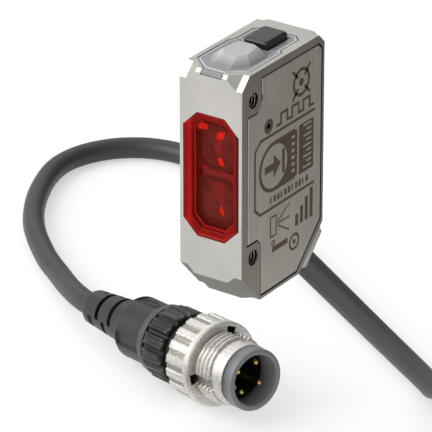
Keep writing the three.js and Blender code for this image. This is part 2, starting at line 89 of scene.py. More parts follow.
# Lead: a 4 mm round polyurethane jacket, extruded dark grey with a dull sheen.
# It leaves the gland at 45 degrees, sinks to the bench, turns behind the sensor and comes round to the plug.
LEAD_ROUTE = [
    (5.5, 13.5, -15.1), (5.5, 15.6, -17.2), (5.5, 24.1, -25.7), (5.5, 34.0, -35.6), (5.5, 43.9, -45.5),
    (5.5, 58.5, -60.0), (4.9, 62.0, -63.2), (3.0, 65.6, -65.7), (0.1, 69.0, -67.2), (-3.6, 71.9, -67.7),
    (-18.6, 81.3, -67.75), (-33.5, 90.7, -67.75), (-48.5, 100.1, -67.75), (-63.5, 109.5, -67.75),
    (-78.5, 119.0, -67.75), (-83.6, 121.0, -67.75), (-89.1, 121.2, -67.75), (-94.3, 119.6, -67.75),
    (-98.7, 116.2, -67.75), (-101.6, 111.5, -67.75), (-102.8, 106.2, -67.75), (-102.1, 100.7, -67.75),
    (-97.8, 90.5, -67.75), (-91.1, 80.7, -67.75), (-81.7, 71.8, -67.75), (-75.3, 66.9, -67.3),
    (-69.6, 62.4, -66.5), (-64.7, 58.9, -65.6), (-61.9, 57.3, -65.15), (-59.5, 56.38, -64.87),
    (-57.2, 55.68, -64.66), (-54.93, 54.98, -64.45),
]
LEAD_DIAMETER = 0.004
LEAD_STEPS = 10


def smooth_route(points, steps):
    """Points on the centripetal curve through a route, steps to each stretch."""
    ends = [points[0] * 2 - points[1], *points, points[-1] * 2 - points[-2]]
    made = []
    for before, here, there, after in zip(ends, ends[1:], ends[2:], ends[3:]):
        gap_a, gap_b, gap_c = (
            math.sqrt((q - p).length) for p, q in ((before, here), (here, there), (there, after))
        )
        leave = ((here - before) / gap_a - (there - before) / (gap_a + gap_b) + (there - here) / gap_b) * gap_b
        arrive = ((there - here) / gap_b - (after - here) / (gap_b + gap_c) + (after - there) / gap_c) * gap_b
        for step in range(steps):
            t = step / steps
            made.append(
                here * (2 * t**3 - 3 * t**2 + 1) + leave * (t**3 - 2 * t**2 + t)
                + there * (3 * t**2 - 2 * t**3) + arrive * (t**3 - t**2)
            )
    return [*made, points[-1]]


class Wire:
    """A socket of a finish that is being drawn. Sums and products on it add Math nodes."""

    def __init__(self, tree, socket=None):
        self.tree, self.socket = tree, socket

    def add(self, kind, settings, sockets, out=0):
        node = self.tree.nodes.new(kind)
        for name, value in settings.items():
            setattr(node, name, value)
        for name, value in sockets.items():
            if isinstance(value, Wire):
                self.tree.links.new(value.socket, node.inputs[name])
            else:
                node.inputs[name].default_value = value
        return Wire(self.tree, node.outputs[out])

    def math(self, operation, *values):
        return self.add("ShaderNodeMath", {"operation": operation}, dict(enumerate(values)))

    def __add__(self, other):
        return self.math("ADD", self, other)

    __radd__ = __add__

    def __sub__(self, other):
        return self.math("SUBTRACT", self, other)

    def __rsub__(self, other):
        return self.math("SUBTRACT", other, self)

    def __mul__(self, other):
        return self.math("MULTIPLY", self, other)

    __rmul__ = __mul__

    def place(self, stretch=(1.0, 1.0, 1.0)):
        """Where a point lies, in millimetres, stretched along X, Y and Z."""
        spot = self.add("ShaderNodeTexCoord", {}, {}, "Object")
        return self.add(
            "ShaderNodeVectorMath", {"operation": "MULTIPLY"}, {0: spot, 1: [s / MM for s in stretch]}
        )

    def along(self, axis):
        """One of a point's coordinates, in millimetres."""
        return self.add("ShaderNodeSeparateXYZ", {}, {"Vector": self.place()}, axis)

    def grain(self, scale, detail=2.0, stretch=(1.0, 1.0, 1.0)):
        return self.add(
            "ShaderNodeTexNoise", {}, {"Vector": self.place(stretch), "Scale": scale, "Detail": detail}
        )

    def rise(self, low, high):
        """0 below low, 1 above high, smooth between."""
        return self.add(
            "ShaderNodeMapRange", {"interpolation_type": "SMOOTHSTEP"},
            {"Value": self, "From Min": low, "From Max": high},
        )

    def tint(self, first, second):
        """The first colour where this is 0, the second where it is 1."""
        return self.add("ShaderNodeMix", {"data_type": "RGBA"}, {0: self, 6: first, 7: second}, 2)

    def bump(self, strength, deep_mm):
        return self.add("ShaderNodeBump", {}, {"Height": self, "Strength": strength, "Distance": deep_mm * MM})


def tone(code):
    """A colour written as six hex digits, for a shader."""
    parts = [int(code[i : i + 2], 16) / 255 for i in (0, 2, 4)]
    return (*(c / 12.92 if c <= 0.04045 else ((c + 0.055) / 1.055) ** 2.4 for c in parts), 1.0)


def finish(name, fixed, drawn):
    """A material: fixed values on its shader, and what drawn(wire) varies over the surface."""
    material = bpy.data.materials.new(name)
    material.use_nodes = True
    tree = material.node_tree
    shader = tree.nodes["Principled BSDF"]
    for socket, value in {**fixed, **drawn(Wire(tree))}.items():
        if isinstance(value, Wire):
            tree.links.new(value.socket, shader.inputs[socket])
        else:
            shader.inputs[socket].default_value = value
    return material


def dress(piece, material):
    """Gives a piece or a carried-over node its finish."""
    if piece.material_slots:
        for holder in piece.material_slots:
            holder.material = material
    else:
        piece.data.materials.append(material)
    return piece


def jacket_look(wire):
    patch = wire.grain(0.25, 3.0)
    fine = wire.grain(7.0)
    return {
        "Base Color": patch.tint(tone("262728"), tone("303132")),
        "Roughness": 0.4 + 0.12 * fine,
        "Normal": fine.bump(0.2, 0.03),
    }


jacket = finish("lead_jacket", {"Specular IOR Level": 0.55}, jacket_look)
route = smooth_route([Vector(p) * MM for p in LEAD_ROUTE], LEAD_STEPS)
line = bpy.data.curves.new("lead_jacket", "CURVE")
line.dimensions = "3D"
line.bevel_depth = 1.0
line.bevel_resolution = 6
line.use_fill_caps = True
spline = line.splines.new("POLY")
spline.points.add(len(route) - 1)
for spot, p in zip(spline.points, route):
    spot.co = (*p, 1.0)
    spot.radius = LEAD_DIAMETER / 2
lead = bpy.data.objects.new("lead_jacket", line)
bpy.context.scene.collection.objects.link(lead)
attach(lead, "sensor")
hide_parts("lead")
dress(lead, jacket)

# Housing: one investment-cast and blasted stainless steel shell with milled corner cuts and a cable boss.
# Its edges are tumbled, so each carries a small round that catches the light.
HOUSING_EDGE = 0.09
GROOVE_MARGIN = 0.4 * MM
GROOVE_TOP = 0.1 * MM
GROOVE_LEDGE = 0.42 * MM
GROOVE_FLOOR = 0.46 * MM
housing_low, housing_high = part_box("main_housing")


def new_piece(name, mesh, body="sensor"):
    """A mesh made in the row frame, in metres, that moves with a body."""
    piece = bpy.data.objects.new(name, mesh)
    bpy.context.scene.collection.objects.link(piece)
    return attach(piece, body)


def softened(name, node, edge, segments=3, sharp=28.0, body="sensor"):
    """A node's own shape with its edges rounded by edge millimetres, in place of the node."""
    bm = bmesh.new()
    bm.from_mesh(frame["nodes"][node].data)
    bmesh.ops.remove_doubles(bm, verts=bm.verts, dist=1e-6)
    bmesh.ops.dissolve_limit(bm, angle_limit=math.radians(0.6), verts=bm.verts, edges=bm.edges)
    corners = [e for e in bm.edges if len(e.link_faces) == 2 and e.calc_face_angle() > math.radians(sharp)]
    bmesh.ops.bevel(
        bm, geom=corners, offset=edge * MM, segments=segments, profile=0.5, affect="EDGES",
        clamp_overlap=True,
    )
    mesh = bpy.data.meshes.new(name)
    bm.to_mesh(mesh)
    bm.free()
    mesh.polygons.foreach_set("use_smooth", [True] * len(mesh.polygons))
    mesh.set_sharp_from_angle(angle=math.radians(50))
    piece = new_piece(name, mesh, body)
    flats = piece.modifiers.new("keep_flats_flat", "WEIGHTED_NORMAL")
    flats.weight = 100
    flats.keep_sharp = True
    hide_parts(node)
    return piece


def steel_look(wire):
    patch = wire.grain(0.1, 3.0)
    fine = wire.grain(7.0, 3.0)
    drawn = wire.grain(2.0, 3.0, (1.0, 1.0, 0.1))
    blasted = (patch * 0.55 + fine * 0.35 + drawn * 0.1).rise(0.2, 0.8).tint(tone("b0aea8"), tone("cccac4"))
    # The right side face is painted a darker, warmer steel as shade, since it faces away from the front soft
    # box.
    shaded_side = (wire.along("X") * MM).rise(housing_high.x - 0.06 * MM, housing_high.x - 0.02 * MM)
    return {
        "Base Color": shaded_side.tint(blasted, patch.tint(tone("8f8982"), tone("a9a39b"))),
        "Roughness": 0.43 + 0.14 * fine,
        "Normal": fine.bump(0.22, 0.02),
    }


steel = finish("blasted_steel", {"Metallic": 1.0}, steel_look)
housing = softened("housing_shell", "main_housing", HOUSING_EDGE)
dress(housing, steel)
housing.data.materials.append(finish("weld_groove", {"Metallic": 0.5, "Specular IOR Level": 0.2}, lambda wire: {
    "Base Color": wire.grain(2.0, 3.0).tint(tone("1b1815"), tone("2e2924")),
    "Roughness": 0.5 + 0.2 * wire.grain(6.0),
}))
cover_low, cover_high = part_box("side_cover")
for face in housing.data.polygons:
    deep = housing_high.x - face.center.x
    beside_cover = all(
        cover_low[axis] - GROOVE_MARGIN < face.center[axis] < cover_high[axis] + GROOVE_MARGIN
        for axis in (1, 2)
    )
    on_ledge = face.normal.x > 0.5 and deep < GROOVE_LEDGE
    if beside_cover and not on_ledge and GROOVE_TOP < deep < GROOVE_FLOOR:
        face.material_index = 1

# Screw threads: M3 threads tapped right through the two screw holes, with bright crests and roots painted near
# black as shade.
# Each is a thin threaded sleeve that stands just inside the drilled wall and ends short of its mouths.
HOLE_PITCH = 25.4
HOLE_BACK = 3.0
THREAD_WALL = 1.28
THREAD_ROOT = 1.24
THREAD_CREST = 1.0
THREAD_PITCH = 0.5
THREAD_STEP = 0.0625
THREAD_SIDES = 40
THREAD_INSET = 0.12
middle = (housing_low.x + housing_high.x) / 2
front = housing_low.y
foot = housing_low.z


def at(x, y, z):
    """A point by millimetres from the housing's middle, front face and bottom."""
    return Vector((middle + x * MM, front + y * MM, foot + z * MM))


def mesh_of(name, points, faces):
    mesh = bpy.data.meshes.new(name)
    mesh.from_pydata([tuple(p) for p in points], [], faces)
    bm = bmesh.new()
    bm.from_mesh(mesh)
    bmesh.ops.recalc_face_normals(bm, faces=bm.faces)
    bm.to_mesh(mesh)
    bm.free()
    return mesh


def rolled(name, rings, hollow=False):
    """A skin through rings of points. It joins up on itself if hollow, and else has a cap at each end."""
    count = len(rings[0])
    points = [p for ring in rings for p in ring]
    faces = []
    for row in range(len(rings) if hollow else len(rings) - 1):
        start, end = row * count, (row + 1) % len(rings) * count
        for i in range(count):
            j = (i + 1) % count
            faces.append((start + i, start + j, end + j, end + i))
    if not hollow:
        faces.append(tuple(range(count)))
        faces.append(tuple(range(len(points) - count, len(points))))
    mesh = mesh_of(name, points, faces)
    mesh.polygons.foreach_set("use_smooth", [True] * len(mesh.polygons))
    return mesh


def thread_root_shade_look(wire):
    across = wire.along("Y")
    up = wire.math("ABSOLUTE", wire.along("Z")) - HOLE_PITCH / 2
    away = wire.math("SQRT", across * across + up * up)
    # 1 on the crests; the roots between are painted near black, as the shade inside the hole
    crest = 1.0 - away.rise(THREAD_CREST + 0.01, THREAD_CREST + 0.09)
    return {
        "Base Color": crest.tint(tone("100f0e"), tone("e6e2db")),
        "Roughness": 0.26 + 0.15 * wire.grain(9.0),
    }


def thread_radius(x, share):
    """The thread's radius at a depth along the hole and a share of a full turn."""
    wave = abs((x / THREAD_PITCH + share) % 1.0 - 0.5) * 2
    return THREAD_ROOT - (THREAD_ROOT - THREAD_CREST) * max(0.0, 1.35 * wave - 0.35)


thread_steel_root_shade = finish("thread_steel_root_shade", {"Metallic": 1.0}, thread_root_shade_look)
hole_half = (cover_high.x - housing_low.x) / MM / 2
thread_steps = int((hole_half * 2 - 2 * THREAD_INSET) / THREAD_STEP) + 1
thread_stations = [-hole_half + THREAD_INSET + THREAD_STEP * k for k in range(thread_steps)]
for place, centre_z in (("upper", HOLE_PITCH / 2), ("lower", -HOLE_PITCH / 2)):
    rings = []
    for x in [*thread_stations, thread_stations[-1], thread_stations[0]]:
        ring = []
        for i in range(THREAD_SIDES):
            turn = 2 * math.pi * i / THREAD_SIDES
            r = thread_radius(x, i / THREAD_SIDES) if len(rings) < thread_steps else THREAD_WALL
            ring.append(at(x, HOLE_BACK + r * math.cos(turn), centre_z - foot / MM + r * math.sin(turn)))
        rings.append(ring)
    sleeve = new_piece(f"screw_thread_{place}", rolled(f"screw_thread_{place}", rings, hollow=True))
    sleeve.data.set_sharp_from_angle(angle=math.radians(50))
    dress(sleeve, thread_steel_root_shade)

# Side cover: a thin stamped steel plate let flush into the right side and laser welded round its edge.
# It is a shade darker and warmer than the shell, with a faint rolling grain along its length.
COVER_EDGE = 0.12


def cover_look(wire):
    patch = wire.grain(0.16, 4.0)
    rolling = wire.grain(2.2, 4.0, (1.0, 1.0, 0.07))
    fine = wire.grain(6.0, 2.0)
    mottle = patch * 0.35 + rolling * 0.45 + fine * 0.2
    return {
        "Base Color": mottle.rise(0.2, 0.8).tint(tone("b2ada6"), tone("cdc9c2")),
        "Roughness": 0.4 + 0.16 * rolling,
        "Normal": (rolling + fine * 0.6).bump(0.3, 0.02),
    }


cover_steel = finish("rolled_steel", {"Metallic": 1.0}, cover_look)
cover = softened("cover_plate", "side_cover", COVER_EDGE)
dress(cover, cover_steel)

# Laser marks: plain signs burnt into the cover, brown where the beam has oxidised the steel.
# A target, a pulse line, a framed panel with an arrow, ticks, level bars and a small ring.
MARK_LIFT = 0.012
MARK_ROOT = 0.02
STROKE = 0.42
ROUND = 48
DOT_HOLE = 0.02
marks = bmesh.new()
clear_marks = bmesh.new()


def mark(sheet, outline, lift=MARK_LIFT):
    """One flat mark on the cover, from its outline as (back, up) in millimetres."""
    base = (cover_high.x - middle) / MM
    under = [sheet.verts.new(at(base - MARK_ROOT, y, z)) for y, z in outline]
    top = [sheet.verts.new(at(base + lift, y, z)) for y, z in outline]
    sheet.faces.new(top)
    sheet.faces.new(under[::-1])
    for i, corner in enumerate(under):
        j = (i + 1) % len(under)
        sheet.faces.new((corner, under[j], top[j], top[i]))


def bar(sheet, y0, y1, z0, z1, lift=MARK_LIFT):
    mark(sheet, [(y0, z0), (y1, z0), (y1, z1), (y0, z1)], lift)


def stroke(sheet, points, width=STROKE):
    """A line of even width through points, with mitred corners."""
    spots = [Vector((*p, 0)) for p in points]
    sides = []
    for i, here in enumerate(spots):
        before, after = spots[max(i - 1, 0)], spots[min(i + 1, len(spots) - 1)]
        ways = [(b - a).normalized() for a, b in ((before, here), (here, after)) if (b - a).length]
        across = [Vector((-w.y, w.x, 0)) for w in ways]
        lean = (across[0] + across[-1]).normalized()
        reach = width / 2 / max(lean.dot(across[0]), 0.3)
        sides.append((here + lean * reach, here - lean * reach))
    for (a, b), (c, d) in zip(sides, sides[1:]):
        mark(sheet, [(p.x, p.y) for p in (a, b, d, c)])


def hoop(sheet, y, z, inner, outer, start=0.0, end=360.0):
    """A ring, or a part of one, between two radii."""
    steps = max(int(ROUND * (end - start) / 360), 2)
    turns = [math.radians(start + (end - start) * i / steps) for i in range(steps + 1)]
    for a, b in zip(turns, turns[1:]):
        mark(sheet, [
            (y + r * math.cos(t), z + r * math.sin(t))
            for r, t in ((inner, a), (outer, a), (outer, b), (inner, b))
        ])


# target sign
TARGET = (15.6, 31.6)
hoop(marks, *TARGET, 1.75, 2.3)
hoop(marks, *TARGET, DOT_HOLE, 0.62)
for way in range(4):
    turn = math.radians(45 + 90 * way)
    c, s = math.cos(turn), math.sin(turn)
    stroke(marks, [(TARGET[0] + r * c, TARGET[1] + r * s) for r in (1.2, 3.3)], 0.5)
# pulse line beside a dot
hoop(marks, 6.95, 27.6, DOT_HOLE, 1.15)
hoop(clear_marks, 6.95, 27.6, DOT_HOLE, 0.42)
pulse = [(8.9, 26.9), (10.2, 26.9), (10.2, 28.5), (11.9, 28.5), (11.9, 26.9), (13.2, 26.9), (13.2, 28.5)]
pulse += [(14.9, 28.5), (14.9, 26.9), (16.2, 26.9), (16.2, 28.5), (17.9, 28.5), (17.9, 26.9), (19.1, 26.9)]
stroke(marks, pulse, 0.45)
# frame with cut corners, open to the rear
stroke(marks, [(19.3, 25.9), (4.9, 25.9), (3.4, 24.6), (3.4, 15.2), (4.8, 13.95), (19.3, 13.95)], 0.45)
# rounded panel with a clear round field
FIELD = (8.5, 20.6)
FIELD_ROUND = 3.45
PANEL_HALF = 4.05
PANEL_REAR = 6.1
for i in range(ROUND):
    corners = []
    for turn in (2 * math.pi * i / ROUND, 2 * math.pi * (i + 1) / ROUND):
        c, s = math.cos(turn), math.sin(turn)
        reach = PANEL_HALF if c <= 0 else min(PANEL_REAR / max(c, 1e-6), PANEL_HALF / max(abs(s), 1e-6))
        corners.append([(FIELD[0] + r * c, FIELD[1] + r * s) for r in (FIELD_ROUND, reach)])
    mark(marks, [corners[0][0], corners[0][1], corners[1][1], corners[1][0]])
# arrow and stop bar in the field
mark(marks, [(6.0, 20.0), (8.3, 20.0), (8.3, 18.7), (10.2, 20.6), (8.3, 22.5), (8.3, 21.2), (6.0, 21.2)])
bar(marks, 10.6, 11.3, 18.6, 22.6)
# ruled strip with clear ticks
bar(marks, 15.1, 19.0, 16.6, 24.7)
for tick in range(9):
    z = 17.2 + tick * 0.86
    bar(clear_marks, 17.0 if tick % 2 else 16.2, 18.4, z, z + 0.34, MARK_LIFT * 2)
for tick in range(6):
    z = 17.7 + tick * 1.1
    bar(clear_marks, 13.1, 13.9, z, z + 0.5, MARK_LIFT * 2)
# row of dashes under the panel
for dash in range(11):
    y = 7.4 + dash * 0.96
    bar(marks, y, y + (0.62 if dash % 3 else 0.34), 14.75, 15.75)
# emitter and its spreading beam
stroke(marks, [(7.6, 9.2), (7.6, 12.4), (9.1, 12.4), (9.1, 9.2), (7.6, 9.2)], 0.26)
stroke(marks, [(9.5, 11.1), (12.6, 13.0)], 0.24)
stroke(marks, [(9.5, 10.8), (12.7, 10.8)], 0.24)
stroke(marks, [(9.5, 10.5), (12.6, 8.6)], 0.24)
hoop(marks, 8.35, 8.0, 0.25, 0.5)
# level bars
for step, tall in enumerate((1.9, 2.9, 3.9, 4.9)):
    y = 14.25 + step * 1.3
    bar(marks, y, y + 0.82, 8.4, 8.4 + tall)
# solid bar and small ring
bar(marks, 8.1, 12.2, 6.5, 7.4)
hoop(marks, 14.0, 6.0, 1.0, 1.4)
hoop(marks, 14.0, 6.0, DOT_HOLE, 0.4)


def sheet_piece(name, sheet):
    bmesh.ops.recalc_face_normals(sheet, faces=sheet.faces)
    mesh = bpy.data.meshes.new(name)
    sheet.to_mesh(mesh)
    sheet.free()
    return new_piece(name, mesh)


def burnt_look(wire):
    patch = wire.grain(0.9, 4.0)
    fine = wire.grain(9.0, 2.0)
    return {
        "Base Color": (patch * 0.6 + fine * 0.4).tint(tone("493b2f"), tone("67554a")),
        "Roughness": 0.5 + 0.15 * fine,
    }


burnt = finish("burnt_steel", {"Metallic": 0.35, "Specular IOR Level": 0.3}, burnt_look)
dress(sheet_piece("cover_marks", marks), burnt)
dress(sheet_piece("cover_mark_gaps", clear_marks), cover_steel)

# Hole rims: the edges that the drill leaves in the right side round the two screw holes.
# A bright arc of the same steel in the notch below the upper hole is a painted glint.
RIM_INNER = 1.27
RIM_OUTER = 1.4


def glint_and_cut_look(wire):
    return {
        "Base Color": wire.grain(3.0, 2.0).tint(tone("5b5650"), tone("d9d5ce")),
        "Roughness": 0.25 + 0.1 * wire.grain(8.0),
    }


hole_rims = bmesh.new()
for centre_z in (HOLE_PITCH / 2, -HOLE_PITCH / 2):
    hoop(hole_rims, HOLE_BACK, centre_z - foot / MM, RIM_INNER, RIM_OUTER)
# painted glint: a bright arc in the notch below the upper hole
hoop(hole_rims, HOLE_BACK, HOLE_PITCH / 2 - foot / MM, 2.2, 2.48, -62, 2)
dress(sheet_piece("hole_rims", hole_rims), finish("cut_steel_and_glint", {"Metallic": 1.0}, glint_and_cut_look))

# Window: a red moulded acrylic block set in the front face, with a stepped rim round a clear pane.
# Light caught in the rim's left and lower walls is painted on as a glow, and its right side is painted dark as
# shade.
# The two lens chambers show behind the pane.
WINDOW_HALF = 4.85
WINDOW_TALL = 9.965
WINDOW_CUT = 2.45
WINDOW_CUT_SHRINK = 0.586
WINDOW_MID = -foot / MM


def eight_sided(inset, y):
    """The window's outline drawn inwards by inset, at a depth behind the front face."""
    w, h = WINDOW_HALF - inset, WINDOW_TALL - inset
    c = WINDOW_CUT - inset * WINDOW_CUT_SHRINK
    return [
        at(x, y, WINDOW_MID + z)
        for x, z in (
            (-w + c, -h), (w - c, -h), (w, -h + c), (w, h - c),
            (w - c, h), (-w + c, h), (-w, h - c), (-w, -h + c),
        )
    ]


def across_window(wire):
    """Millimetres to the right of the window's middle."""
    return wire.along("X") - middle / MM


def rim_look_red(wire):
    across = across_window(wire)
    up = wire.along("Z")
    streak = wire.grain(0.9, 3.0, (3.0, 3.0, 0.2))
    # The left wall and the foot are painted bright as light caught in the acrylic, and the right side is
    # painted dark as shade.
    left = across.rise(-4.55, -4.25) * (1.0 - across.rise(-3.7, -3.5))
    foot_glow = 1.0 - up.rise(-9.2, -7.6)
    right = across.rise(4.15, 4.6)
    body = streak.tint(tone("7a0704"), tone("930c06"))
    lit = (left * 0.85 + 0.15 * streak).tint(body, tone("bc150a"))
    glowing = (foot_glow * 0.4).tint(lit, tone("9c1007"))
    return {
        "Base Color": (right * 0.9).tint(glowing, tone("2c0000")),
        "Roughness": 0.22 + 0.1 * streak,
    }


def pane_look(wire):
    haze = wire.grain(0.4, 3.0)
    return {"Base Color": haze.tint(tone("4c0503"), tone("660a06")), "Alpha": 0.2 + 0.08 * haze}


def flat_sided(name, rings, hollow=False):
    """A piece through rings of points whose faces all stay flat."""
    mesh = rolled(name, rings, hollow)
    mesh.polygons.foreach_set("use_smooth", [False] * len(mesh.polygons))
    return new_piece(name, mesh)


def plate_step(name, outer, inner, y0, y1, look):
    """A flat ring between two outlines of the same count, from depth y0 to y1."""
    step = flat_sided(name, [outer(y0), outer(y1), inner(y1), inner(y0)], hollow=True)
    return dress(step, look)


window_rim_red = finish("window_rim_red", {"Specular IOR Level": 0.09}, rim_look_red)
pane_red = finish("window_pane_red", {"Roughness": 0.05, "Specular IOR Level": 0.07}, pane_look)
RIM_STEPS = (
    (0.0, 1.0), (0.0, 0.12), (0.1, 0.04), (0.28, 0.06), (0.42, 0.2),
    (1.05, 0.3), (1.2, 0.42), (1.36, 1.5), (0.9, 1.5), (0.9, 1.0),
)
PANE_STEPS = ((1.0, 0.5), (0.44, 0.24), (0.42, 0.16))
window_rim = flat_sided("window_rim", [eight_sided(inset, y) for inset, y in RIM_STEPS], hollow=True)
dress(window_rim, window_rim_red)
pane = flat_sided("window_pane", [eight_sided(inset, y) for inset, y in PANE_STEPS])
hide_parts("front_window")
dress(pane, pane_red)


def glow_line_look(wire):
    streak = wire.grain(1.6, 3.0)
    return {"Base Color": streak.tint(tone("d0180a"), tone("f03010")), "Roughness": 0.2 + 0.1 * streak}


# A thin line inside the rim is painted bright and given a faint glow, as light caught in the acrylic.
glow_line = finish("window_edge_glow", {
    "Specular IOR Level": 0.2, "Emission Color": (0.9, 0.05, 0.01, 1.0), "Emission Strength": 0.22,
}, glow_line_look)
plate_step(
    "window_edge_light", lambda y: eight_sided(1.3, y), lambda y: eight_sided(1.44, y), 0.95, 1.1, glow_line
)

# Optics behind the window: a dark moulded block with two chambers parted by a web, and a lens in each.
# A lighter red sheet across each chamber is painted light, and bright slips on the lens mouldings are painted
# glints.
LIP_DEPTHS = (1.86, 1.95)
LIT_SHEET_DEPTHS = (1.96, 2.02)
SLIP_DEEP = 1.9
SLIP_NEAR = 1.25
SLIP_THICK = 0.15


def chamber_look(wire):
    patch = wire.grain(0.35, 3.0)
    stripe = wire.grain(0.9, 2.0, (2.5, 1.0, 0.08))
    return {
        "Base Color": (patch * 0.4 + stripe.rise(0.35, 0.65) * 0.6).tint(tone("4e1a17"), tone("722622")),
        "Roughness": 0.35 + 0.2 * patch,
    }


def lens_look(wire):
    patch = wire.grain(0.5, 2.0)
    return {"Base Color": patch.tint(tone("561b18"), tone("782822")), "Roughness": 0.05 + 0.05 * patch}


chamber = finish("chamber_plastic", {"Specular IOR Level": 0.1}, chamber_look)
dress(frame["nodes"]["optics_block"], chamber)
lens_red = finish("lens_glass_red", {"Specular IOR Level": 0.25}, lens_look)
for name in ("emitter_lens", "receiver_lens"):
    dress(frame["nodes"][name], lens_red)


def box_outline(x0, x1, z0, z1, cut):
    """An upright rectangle with cut corners, given at any depth."""
    return lambda y: [
        at(x, y, z)
        for x, z in (
            (x0 + cut, z0), (x1 - cut, z0), (x1, z0 + cut), (x1, z1 - cut),
            (x1 - cut, z1), (x0 + cut, z1), (x0, z1 - cut), (x0, z0 + cut),
        )
    ]


CHAMBERS = (
    ("upper_chamber", box_outline(-3.5, 3.5, 20.9, 28.9, 1.5), box_outline(-2.9, 2.6, 21.6, 28.1, 1.2)),
    ("lower_chamber", box_outline(-3.5, 3.5, 12.0, 19.9, 1.5), box_outline(-2.9, 2.6, 12.9, 19.2, 1.2)),
)
for name, outer, inner in CHAMBERS:
    plate_step(f"{name}_lip", outer, inner, *LIP_DEPTHS, chamber)


def lit_sheet_look(wire):
    return {
        "Base Color": wire.grain(0.6, 4.0).rise(0.3, 0.7).tint(tone("743029"), tone("94423a")),
        "Alpha": 0.8 + 0.15 * wire.grain(0.5, 2.0),
    }


# Painted light: a lighter red sheet across each chamber stands for the light inside it.
lit_sheet_red = finish("chamber_lit_sheet", {"Specular IOR Level": 0.05}, lit_sheet_look)
for name, outer, _ in CHAMBERS:
    dress(flat_sided(f"{name}_haze", [outer(y) for y in LIT_SHEET_DEPTHS]), lit_sheet_red)


def glint_look(wire):
    streak = wire.grain(1.4, 3.0)
    return {"Base Color": streak.tint(tone("cc1406"), tone("f0280c")), "Roughness": 0.1 + 0.1 * streak}


def dim_glow_look(wire):
    return {
        "Base Color": wire.grain(0.7, 3.0).tint(tone("8c160d"), tone("b3241a")),
        "Roughness": 0.2 + 0.1 * wire.grain(2.0),
    }


# Painted glints: bright slips with a faint glow stand for light caught on the lens mouldings. The web, a left
# streak and two bands are painted a dimmer red as softer caught light.
glint_paint = finish("lens_painted_glint", {
    "Emission Color": (1.0, 0.02, 0.0, 1.0), "Emission Strength": 0.5, "Specular IOR Level": 0.1,
}, glint_look)
dim_glow_paint = finish("lens_painted_dim_glow", {"Specular IOR Level": 0.3}, dim_glow_look)
GLOW_SLIPS = (
    ("chamber_web", dim_glow_paint, SLIP_DEEP, [(-3.5, 19.5), (-3.5, 20.9), (3.3, 20.9), (3.3, 19.5)]),
    ("web_glow", glint_paint, SLIP_DEEP, [(-3.5, 20.9), (-3.5, 21.02), (1.9, 21.02), (1.9, 20.9)]),
    ("left_glow_streak", dim_glow_paint, SLIP_DEEP, [(-3.5, 12.9), (-3.5, 28.0), (-2.75, 28.0), (-2.75, 12.9)]),
    ("glint_top_left", glint_paint, SLIP_NEAR, [(-3.15, 27.2), (-2.78, 28.3), (-1.5, 28.3), (-1.5, 27.45)]),
    ("glint_top_right", glint_paint, SLIP_DEEP, [
        (-0.35, 26.2), (-0.05, 27.1), (0.5, 27.2), (1.2, 27.4), (1.05, 26.6), (0.7, 26.0), (0.0, 25.9),
    ]),
    ("glint_mid_right", glint_paint, SLIP_DEEP, [
        (-0.05, 22.9), (0.65, 23.1), (1.15, 21.9), (0.9, 21.7), (0.15, 22.1),
    ]),
    ("glint_low_right", glint_paint, SLIP_DEEP, [
        (0.35, 15.0), (0.72, 15.4), (0.95, 14.7), (1.1, 13.9), (0.75, 13.8), (0.3, 14.3),
    ]),
    ("dim_glow_upper_band", dim_glow_paint, SLIP_DEEP, [
        (-0.7, 25.2), (-0.3, 26.1), (0.75, 25.8), (0.75, 23.2), (0.05, 23.2), (-0.55, 24.0),
    ]),
    ("dim_glow_lower_band", dim_glow_paint, SLIP_DEEP, [
        (-1.3, 19.1), (1.3, 19.1), (1.2, 15.6), (0.4, 15.7), (-0.5, 17.0),
    ]),
)
for name, look, deep, outline in GLOW_SLIPS:
    slip = flat_sided(name, [[at(x, y, z) for x, z in outline] for y in (deep, deep + SLIP_THICK)])
    dress(slip, look)

# Hidden insides: boards, chips, light-emitting diodes, seals and wires, each in its own plain finish.
# They are sealed in the housing, so they only need to read as what they are if the covers are taken off.


def speckled(name, dark, light, rough, **fixed):
    """A finish with a fine mottle between two colours."""

    def look(wire):
        fine = wire.grain(3.0, 3.0)
        return {
            "Base Color": fine.tint(tone(dark), tone(light)),
            "Roughness": rough + 0.1 * fine,
            "Normal": fine.bump(0.1, 0.02),
        }

    return finish(name, {k.replace("_", " "): v for k, v in fixed.items()}, look)


rubber = speckled("seal_rubber", "1c1c1e", "29292b", 0.7)
gold = speckled("gold_plate", "d2a652", "e8c67a", 0.18, Metallic=1.0)
board = speckled("board_green", "175a31", "216f40", 0.4)
chip = speckled("chip_black", "17181a", "222326", 0.45)
grey = speckled("grey_plastic", "75767a", "86878b", 0.4)
hidden = {
    board: ("optics_board", "main_board", "display_board"),
    chip: ("processor_chip", "receiver_chip", "switch_body"),
    gold: ("laser_diode", "crimp_ring"),
    rubber: ("window_seal", "indicator_seal", "button_seal", "gland_bush"),
    grey: ("wire_terminal", "switch_plunger"),
    speckled("led_amber", "dbb84c", "ecd070", 0.2): ("output_led",),
    speckled("led_green", "8fcb92", "aadcac", 0.2): ("power_led",),
    speckled("wire_brown", "603a20", "754a2c", 0.4): ("wire_brown",),
    speckled("wire_white", "dad8d2", "ebe9e4", 0.4): ("wire_white",),
    speckled("wire_blue", "244794", "3056ad", 0.4): ("wire_blue",),
    speckled("wire_black", "18181a", "232325", 0.4): ("wire_black",),
}
for look, names in hidden.items():
    for name in names:
        dress(frame["nodes"][name], look)

# Indicator cover: one moulding of frosted clear plastic, locked under the housing's edge by a tab at the front.
# Its faceted dome spreads the light of two diodes, and a pale line along its border is a painted highlight.
COVER_ROUND = 0.16
COVER_TOP = 37.3
COVER_LEAN = 0.4
BORDER_STEPS = ((0.18, -0.05), (0.24, 0.09), (0.44, 0.09), (0.52, -0.05))


